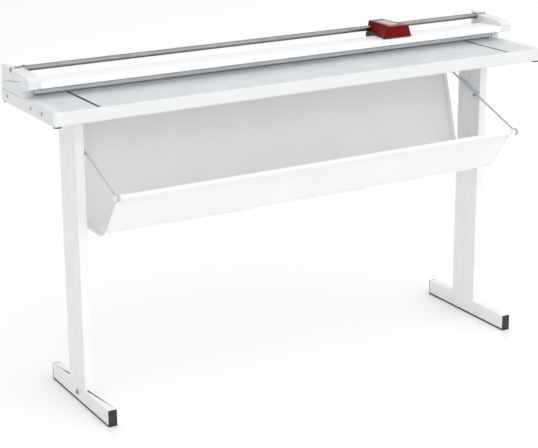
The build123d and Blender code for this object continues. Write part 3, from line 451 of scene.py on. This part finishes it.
@dataclass(frozen=True)
class EasedPart:
    """A CAD shape whose sharp edges are rounded as the real one's are.

    Attributes:
        node: The CAD node that it stands for.
        radius_mm: Radius of the rounded edges; 0 only smooths the round faces.
        steps: Segments across each rounded edge.
        sharp_deg: Faces that meet at more than this keep a crisp edge.
    """

    node: str
    radius_mm: float = 0.0
    steps: int = 3
    sharp_deg: float = 34.0

    def build(self, frame: Frame) -> bpy.types.Object:
        """Copy the node's mesh, join its triangles, and round its edges.

        Args:
            frame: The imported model.

        Returns:
            The new piece, which rides on the node's body.
        """
        mesh = frame.nodes[self.node].data.copy()
        work = bmesh.new()
        work.from_mesh(mesh)
        bmesh.ops.remove_doubles(work, verts=work.verts, dist=MERGE_MM * MM)
        bmesh.ops.dissolve_limit(work, angle_limit=math.radians(FLAT_DEG), verts=work.verts,
                                 edges=work.edges)
        work.to_mesh(mesh)
        work.free()
        mesh.polygons.foreach_set("use_smooth", np.ones(len(mesh.polygons), bool))
        mesh.set_sharp_from_angle(angle=math.radians(self.sharp_deg))
        piece = bpy.data.objects.new(f"{self.node}_eased", mesh)
        bpy.context.scene.collection.objects.link(piece)
        dress(piece, frame.finishes[frame.slots[self.node]])
        if self.radius_mm:
            bevel = piece.modifiers.new("eased_edges", "BEVEL")
            bevel.width = self.radius_mm * MM
            bevel.segments = self.steps
            bevel.limit_method = "ANGLE"
            bevel.angle_limit = math.radians(EASED_DEG)
            bevel.miter_outer = "MITER_ARC"
        # flat faces stay flat in the light, and only the eased edges turn it
        evened = piece.modifiers.new("evened_normals", "WEIGHTED_NORMAL")
        evened.keep_sharp = True
        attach(piece, frame.bodies[self.node])
        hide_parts(self.node)
        LOG.info("%s eased by %.1f mm", self.node, self.radius_mm)
        return piece


EASED_PARTS = (
    EasedPart("left_bracket", 1.6), EasedPart("right_bracket", 1.6),
    EasedPart("left_end_cap", 1.2), EasedPart("right_end_cap", 1.2),
    EasedPart("pressure_beam", 0.9, sharp_deg=18.0), EasedPart("table_board", 0.5, 2),
    EasedPart("left_leg", 1.4), EasedPart("right_leg", 1.4),
    EasedPart("left_foot_tube", 1.4), EasedPart("right_foot_tube", 1.4),
    EasedPart("left_front_foot_cap", 0.8), EasedPart("right_front_foot_cap", 0.8),
    EasedPart("left_rear_foot_cap", 0.8), EasedPart("right_rear_foot_cap", 0.8),
    EasedPart("head_casing"), EasedPart("head_base"), EasedPart("head_inlay", 0.25, 2),
    EasedPart("guide_rod"), EasedPart("left_rod_collar", 0.4, 2),
    EasedPart("right_rod_collar", 0.4, 2), EasedPart("basket_rear_rail"),
    EasedPart("basket_front_rod"), EasedPart("front_rod_knobs"),
    EasedPart("clamp_strip", 0.5, 2),
)


# ---------------------------------------------------------------- catch basket
def unit(vectors: Array) -> Array:
    """Scale vectors to length one along the last axis."""
    return vectors / np.linalg.norm(vectors, axis=-1, keepdims=True)


ARC_POINTS = 24
FOLD_POINTS = 7


def arc(centre: Array, radius: float, start: float, end: float) -> Array:
    """Points on a circle: centre plus radius times (cos a, sin a), a from start to end degrees."""
    angle = np.radians(np.linspace(start, end, ARC_POINTS))
    return centre + radius * np.stack([np.cos(angle), np.sin(angle)], axis=1)


def filleted(corners: Array, radii: Sequence[float]) -> Array:
    """Round the inner corners of a line of straight runs.

    At each corner an arc touches both runs at r / tan(half the angle between them).

    Args:
        corners: Corner points, one row each.
        radii: Radius at each inner corner.

    Returns:
        Points of the rounded line.
    """
    parts = [corners[:1]]
    for before, corner, after, radius in zip(corners, corners[1:], corners[2:], radii):
        back, ahead = unit(before - corner), unit(after - corner)
        half = math.acos(float(np.clip(back @ ahead, -1, 1))) / 2
        centre = corner + unit(back + ahead) * radius / math.sin(half)
        first = corner + back * radius / math.tan(half) - centre
        last = corner + ahead * radius / math.tan(half) - centre
        turn = math.acos(float(np.clip(unit(first) @ unit(last), -1, 1)))
        share = np.linspace(0, 1, ARC_POINTS)[:, None]
        parts.append(centre + (np.sin((1 - share) * turn) * first + np.sin(share * turn) * last)
                     / math.sin(turn))
    return np.concatenate([*parts, corners[-1:]])


def even(points: Array, step: float) -> Array:
    """Points about a step apart along a line of points."""
    along = np.concatenate([[0], np.cumsum(np.linalg.norm(np.diff(points, axis=0), axis=1))])
    wanted = np.linspace(0, along[-1], max(2, round(along[-1] / step) + 1))
    return np.stack([np.interp(wanted, along, points[:, k]) for k in (0, 1)], axis=1)


@dataclass
class CatchBasket:
    """One cloth from the rear rail, down through the trough and up to the front rod.

    Attributes:
        half_width: Half of the cloth's finished width.
        side_hem: Width of the fold along each side edge.
        thickness: Thickness of the cloth.
        sleeve_gap: Room between a rod and the middle of the cloth round it.
        tail: Length of each sleeve's sewn tail.
        sleeve_run: From where the cloth touches the rod to its sleeve's seam.
        fold_gap: From one layer's middle to the next one's.
        columns: Points across the cloth between the side hems.
        back: Corner of the side view from the rail, in shares of the rail's height over the
            front rod, as (Y, Z).
        heel: The next corner, the same way.
        toe: The corner at the trough's front, from the front rod, the same way.
        back_radius: Rounding at the back corner.
        heel_share: Rounding at the heel, as a share of that height.
        toe_radius: Rounding at the toe.
        sleeve_turn: Degrees that the cloth wraps round each rod.
        fine: Distance between points in the sleeves.
        coarse: Distance between points in the sheet.
        held_run: Run beside each sleeve in which the slack sets in.
        belly_depth: Sag between the two ends.
        waves: Height, length, lean and phase of each long wave.
        pucker_height: Height of the puckers at the sleeves.
        pucker_length: Length of one pucker.
        pucker_reach: Distance from a sleeve in which the puckers fade.
        curl_height: Curl of the side edges.
        curl_start: Share of the half width at which the curl starts.
        curl_width: Share of the half width in which it sets in.
    """

    half_width: float = 0.645
    side_hem: float = 0.014
    thickness: float = 0.0010
    sleeve_gap: float = 0.0012
    tail: float = 0.016
    sleeve_run: float = 0.015
    fold_gap: float = 0.0013
    columns: int = 96
    back: tuple[float, float] = (-0.145, -0.42)
    heel: tuple[float, float] = (-0.536, -1.75)
    toe: tuple[float, float] = (0.62, -0.776)
    back_radius: float = 0.2
    heel_share: float = 0.5
    toe_radius: float = 0.075
    sleeve_turn: float = 240.0
    fine: float = 0.0016
    coarse: float = 0.006
    held_run: float = 0.05
    belly_depth: float = 0.0030
    waves: tuple[tuple[float, float, float, float], ...] = (
        (0.0011, 0.41, 0.55, 0.7), (0.0007, 0.19, -0.8, 2.1))
    pucker_height: float = 0.0009
    pucker_length: float = 0.072
    pucker_reach: float = 0.07
    curl_height: float = 0.0035
    curl_start: float = 0.955
    curl_width: float = 0.045

    def run(self) -> tuple[Array, Array]:
        """Side view of the cloth: sleeve, sheet, sleeve.

        Returns:
            Points as (Y, Z), and how free each is of its sleeve, from 0 to 1.
        """
        rail, rail_radius = self._rod("basket_rear_rail")
        rod, rod_radius = self._rod("basket_front_rod")
        rail_radius += self.sleeve_gap
        rod_radius += self.sleeve_gap
        drop = rail[1] - rod[1]
        toe = rod + drop * np.array(self.toe)
        # the cloth touches the front rod where its last run is a tangent
        reach = toe - rod
        touch = math.degrees(math.atan2(reach[1], reach[0])
                             + math.acos(rod_radius / np.linalg.norm(reach)))
        start = rail - np.array([rail_radius, 0.0])
        end = rod + rod_radius * np.array([math.cos(math.radians(touch)),
                                           math.sin(math.radians(touch))])
        corners = np.array([start, rail + drop * np.array(self.back),
                            rail + drop * np.array(self.heel), toe, end])
        sheet = filleted(corners, (self.back_radius, self.heel_share * drop, self.toe_radius))
        rear = np.concatenate([self._tail(start, np.array([0.0, -1.0]), np.array([1.0, 0.0])),
                               arc(rail, rail_radius, 180 - self.sleeve_turn, 180)])
        rise = unit(end - toe)
        outer = np.array([-rise[1], rise[0]])
        front = np.concatenate([arc(rod, rod_radius, touch, touch + self.sleeve_turn),
                                self._tail(end, -rise, outer)[::-1]])
        rear, front = even(rear, self.fine), even(front, self.fine)
        sheet = even(sheet, self.coarse)[1:-1]
        rows_away = np.minimum(np.arange(len(sheet)), np.arange(len(sheet))[::-1])
        free = np.clip(rows_away * self.coarse / self.held_run, 0, 1)
        free = free * free * (3 - 2 * free)
        return (np.concatenate([rear, sheet, front]),
                np.concatenate([np.zeros(len(rear)), free, np.zeros(len(front))]))

    def _rod(self, node: str) -> tuple[Array, float]:
        """Centre as (Y, Z) and radius of a rod along X."""
        low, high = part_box(node)
        return np.array([(low.y + high.y) / 2, (low.z + high.z) / 2]), (high.z - low.z) / 2

    def _tail(self, touch: Array, along: Array, aside: Array) -> Array:
        """Sewn tail beside the sheet, from its loose end to the sleeve's seam."""
        side = touch + aside * self.fold_gap
        return np.array([side + along * (self.sleeve_run + self.tail),
                         side + along * self.sleeve_run])

    def across(self) -> tuple[Array, Array]:
        """Cut across the cloth: its two side edges are folded in on the upper face.

        Returns:
            X of each point, and its height over the sheet's middle.
        """
        turn = np.radians(np.linspace(90, 270, FOLD_POINTS))
        radius = self.fold_gap / 2
        edge = self.half_width - radius
        fold_x = np.concatenate([[edge - self.side_hem], edge - radius * np.cos(turn)])
        fold_h = np.concatenate([[2 * radius], radius + radius * np.sin(turn)])
        middle = np.linspace(-edge, edge, self.columns)[1:-1]
        return (np.concatenate([-fold_x, middle, fold_x[::-1]]),
                np.concatenate([fold_h, np.zeros(len(middle)), fold_h[::-1]]))

    def ripple(self, x: Array, s: Array) -> Array:
        """Slack in the cloth, in metres towards its upper face.

        Long shallow waves lean across the sheet, a soft belly hangs between the two ends,
        and small puckers fade away from the two sleeves.

        Args:
            x: Place across the cloth.
            s: Distance along the cloth.

        Returns:
            Height at each pair of the two.
        """
        length = s.max()
        across = x / self.half_width
        belly = -self.belly_depth * np.sin(np.pi * s / length) ** 2 * (1 - across ** 2)
        waves = sum(height * np.sin(2 * np.pi * (x / long + lean * s) + phase)
                    for height, long, lean, phase in self.waves)
        near = np.exp(-np.minimum(s, length - s) / self.pucker_reach)
        # the inner sine makes the puckers uneven along the sleeve
        puckers = self.pucker_height * near * np.sin(
            2 * np.pi * x / self.pucker_length + 3 * np.sin(9 * x))
        edge = np.clip((np.abs(x) / self.half_width - self.curl_start) / self.curl_width, 0, 1)
        curl = self.curl_height * edge ** 2 * np.sin(2.2 * np.pi * s / length)
        return belly + waves + puckers + curl

    def build(self, frame: Frame) -> None:
        """Carry the cut across the cloth along its side view, and hang it in the frame.

        A point is run(s) + normal(s) * (height(u) + ripple(x(u), s)), at X = x(u).
        """
        line, free = self.run()
        x, height = self.across()
        step = np.linalg.norm(np.diff(line, axis=0), axis=1)
        s = np.concatenate([[0], np.cumsum(step)])
        tangent = unit(np.gradient(line, s, axis=0))
        normal = np.stack([tangent[:, 1], -tangent[:, 0]], axis=1)
        lift = height[None, :] + free[:, None] * self.ripple(x[None, :], s[:, None])
        places = line[:, None, :] + normal[:, None, :] * lift[:, :, None]
        points = np.concatenate([np.broadcast_to(x, lift.shape)[:, :, None], places], axis=2)
        rows, columns = lift.shape
        index = np.arange(rows * columns).reshape(rows, columns)
        faces = np.stack([index[:-1, :-1], index[:-1, 1:], index[1:, 1:], index[1:, :-1]],
                         axis=2).reshape(-1, 4)
        cloth = new_piece("basket_cloth", points.reshape(-1, 3), faces, BASKET_CLOTH)
        u = np.concatenate([[0], np.cumsum(np.hypot(np.diff(x), np.diff(height)))])
        self._lay_out(cloth, np.stack(np.meshgrid(u, s), axis=2).reshape(-1, 2))
        skin = cloth.modifiers.new("cloth_thickness", "SOLIDIFY")
        skin.thickness = self.thickness
        skin.offset = 0.0
        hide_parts("basket_fabric", "basket_front_hem")
        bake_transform(cloth)
        LOG.info("basket cloth cut %.0f by %.0f mm", u[-1] / MM, s[-1] / MM)

    def _lay_out(self, cloth: bpy.types.Object, flat: Array) -> None:
        """Write the flat cut, in metres, to the cloth's UV map."""
        mesh = cloth.data
        corners = np.empty(len(mesh.loops), np.int64)
        mesh.loops.foreach_get("vertex_index", corners)
        mesh.uv_layers.new(name="cut").data.foreach_set("uv", flat[corners].ravel())


# ---------------------------------------------------------------- stage
@dataclass
class Studio:
    """Camera, lights and floor.

    Attributes:
        camera_at: Place of the camera in metres.
        yaw: Turn of the view to the right of +Y, in degrees.
        pitch: Tilt of the view above the horizon, in degrees.
        roll: Clockwise turn of the picture, in degrees.
        focal_share: Focal length as a share of the frame's width.
        shift: Downward shift of the lens as a share of the frame's width.
        lit_side: Direction that most light comes from.
        sky_even: Strength of the light from all round.
        sky_slope: Extra strength towards the lit side, and less on the far side.
        floor_colour: sRGB hex colour of the floor.
        floor_roughness: Roughness of the floor's slight polish.
        floor_specular: Level of the floor's mirror-like share.
        floor_reach: Half of the floor's width in metres.
        sensor_mm: Width of the camera's sensor.
        view_end: Furthest distance that the camera sees, in metres.
    """

    camera_at: tuple[float, float, float] = (-2.2012, -3.6183, 1.7769)
    yaw: float = 30.5
    pitch: float = -16.0
    roll: float = 0.3
    focal_share: float = 1521.2 / 538.0
    shift: float = -50.0 / 538.0
    lit_side: tuple[float, float, float] = (0.44, -0.84, 0.24)
    sky_even: float = 1.01
    sky_slope: float = 0.54
    floor_colour: str = "FDFDFD"
    floor_roughness: float = 0.18
    floor_specular: float = 0.2
    floor_reach: float = 40.0
    sensor_mm: float = 36.0
    view_end: float = 100.0

    def camera(self) -> None:
        """Place the camera: forward from yaw and pitch, up turned by the roll."""
        data = bpy.data.cameras.new("camera")
        view = bpy.data.objects.new("camera", data)
        bpy.context.scene.collection.objects.link(view)
        data.sensor_width = self.sensor_mm
        data.lens = self.focal_share * data.sensor_width
        data.shift_y = self.shift
        data.clip_end = self.view_end
        view.location = self.camera_at
        view.rotation_euler = (math.radians(90.0 + self.pitch), math.radians(self.roll),
                               math.radians(-self.yaw))
        view.rotation_mode = "XYZ"
        bpy.context.scene.camera = view

    def floor(self) -> None:
        """A wide pale floor with a slight polish, under a white sky."""
        half = self.floor_reach
        mesh = bpy.data.meshes.new("floor")
        corners = [(-half, -half, 0.0), (half, -half, 0.0), (half, half, 0.0), (-half, half, 0.0)]
        mesh.from_pydata(corners, [], [(0, 1, 2, 3)])
        floor = bpy.data.objects.new("floor", mesh)
        bpy.context.scene.collection.objects.link(floor)
        made = bpy.data.materials.new("pale_floor")
        made.use_nodes = True
        shader = made.node_tree.nodes["Principled BSDF"]
        shader.inputs["Base Color"].default_value = linear(self.floor_colour)
        shader.inputs["Roughness"].default_value = self.floor_roughness
        shader.inputs["Specular IOR Level"].default_value = self.floor_specular
        mesh.materials.append(made)

    def sky(self) -> None:
        """Soft white light from all round, stronger from the lit side.

        The sky's strength is even plus slope times (direction . lit side).
        """
        world = bpy.data.worlds.new("studio")
        world.use_nodes = True
        tree = world.node_tree
        tree.nodes.clear()
        place = add(tree, "ShaderNodeTexCoord")
        towards = add(tree, "ShaderNodeVectorMath",
                      {0: place.outputs["Generated"], 1: self.lit_side}, operation="DOT_PRODUCT")
        strength = add(tree, "ShaderNodeMath",
                       {0: towards.outputs["Value"], 1: self.sky_slope, 2: self.sky_even},
                       operation="MULTIPLY_ADD")
        back = add(tree, "ShaderNodeBackground",
                   {"Color": linear("FFFFFF"), "Strength": strength.outputs[0]})
        add(tree, "ShaderNodeOutputWorld", {"Surface": back.outputs["Background"]})
        bpy.context.scene.world = world

    def build(self) -> None:
        """Set up camera, floor and light."""
        bpy.context.scene.view_settings.view_transform = "Standard"
        self.camera()
        self.floor()
        self.sky()


def main() -> None:
    """Build the studio, the cloth and the eased parts in order."""
    logging.basicConfig(level=logging.INFO, format="%(message)s")
    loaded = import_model()
    Studio().build()
    frame = Frame.from_kit(loaded)
    frame.dress_nodes()
    CatchBasket().build(frame)
    for part in EASED_PARTS:
        part.build(frame)


if __name__ == "__main__":
    main()
